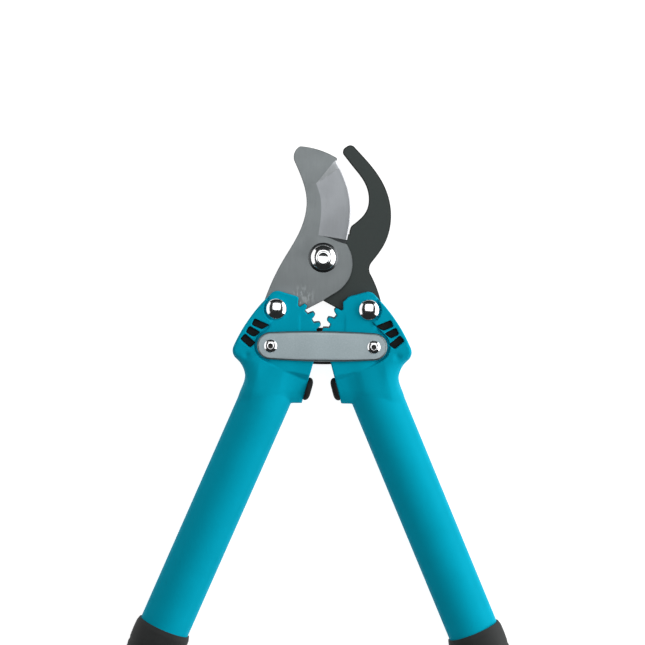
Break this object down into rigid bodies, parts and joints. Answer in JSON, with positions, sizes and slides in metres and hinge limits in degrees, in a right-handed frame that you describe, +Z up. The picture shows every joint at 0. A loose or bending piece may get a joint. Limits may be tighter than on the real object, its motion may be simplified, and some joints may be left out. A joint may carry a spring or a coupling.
{
  "type": "geared bypass lopper",
  "caption": "Geared bypass lopper with a wide ground blade, a dark curved counter blade, two toothed fork heads joined by a flat link, and long straight tubular handles.",
  "frame": {"origin": "midway between the two handle pivots, on the outer face of the rear link", "axes": "+X to the right handle, +Y towards the blade tips, +Z up through the layers; the tool lies on its back with the jaw half open"},
  "size_m": [0.3722, 0.4837, 0.0272],
  "materials": {
    "handle_shell": "satin teal, fibre-reinforced",
    "soft_grip": "matte soft-touch",
    "cap_plastic": "fine grain",
    "bumper_rubber": "matte",
    "bush_plastic": "smooth",
    "bright_steel": "polished",
    "zinc_steel": "zinc plated",
    "satin_link": "satin",
    "black_link": "satin black",
    "blade_steel": "fine ground",
    "coated_hook": "dark non-stick coating"
  },
  "bodies": {
    "link": {"front_link": "satin_link", "rear_link": "black_link", "left_link_screw": "bright_steel", "right_link_screw": "bright_steel", "left_link_barrel": "zinc_steel", "right_link_barrel": "zinc_steel"},
    "left_handle": {"left_handle": "handle_shell", "left_grip": "soft_grip", "left_end_cap": "cap_plastic", "left_bumper": "bumper_rubber", "left_slot_insert": "bumper_rubber", "left_pivot_bush": "bush_plastic", "left_tang_bolt": "bright_steel", "left_tang_nut": "zinc_steel"},
    "right_handle": {"right_handle": "handle_shell", "right_grip": "soft_grip", "right_end_cap": "cap_plastic", "right_bumper": "bumper_rubber", "right_slot_insert": "bumper_rubber", "right_pivot_bush": "bush_plastic", "right_tang_bolt": "bright_steel", "right_tang_nut": "zinc_steel"},
    "counter_blade": {"counter_blade": "coated_hook", "pivot_bolt": "bright_steel", "front_washer": "zinc_steel", "rear_washer": "zinc_steel", "pivot_nut": "zinc_steel"},
    "cutting_blade": {"cutting_blade": "blade_steel"}
  },
  "joints": [
    {"name": "left_handle_hinge", "type": "hinge", "parent": "link", "child": "left_handle", "pos_m": [-0.035, 0, 0.01225], "axis": [0, 0, 1], "range_deg": [-30, 15]},
    {"name": "right_handle_hinge", "type": "hinge", "parent": "link", "child": "right_handle", "pos_m": [0.035, 0, 0.01225], "axis": [0, 0, 1], "range_deg": [-15, 30]},
    {"name": "counter_blade_hinge", "type": "hinge", "parent": "right_handle", "child": "counter_blade", "pos_m": [0.0315, 0.025, 0.01225], "axis": [0, 0, 1], "range_deg": [-49.95, 24.98]},
    {"name": "cutting_blade_hinge", "type": "hinge", "parent": "counter_blade", "child": "cutting_blade", "pos_m": [0, 0.06, 0.01225], "axis": [0, 0, 1], "range_deg": [-20.5, 41]}
  ],
  "couplings": [
    {"joint": "right_handle_hinge", "follows": "left_handle_hinge", "ratio": -1},
    {"joint": "counter_blade_hinge", "follows": "left_handle_hinge", "ratio": 1.665},
    {"joint": "cutting_blade_hinge", "follows": "left_handle_hinge", "ratio": -1.3667}
  ]
}
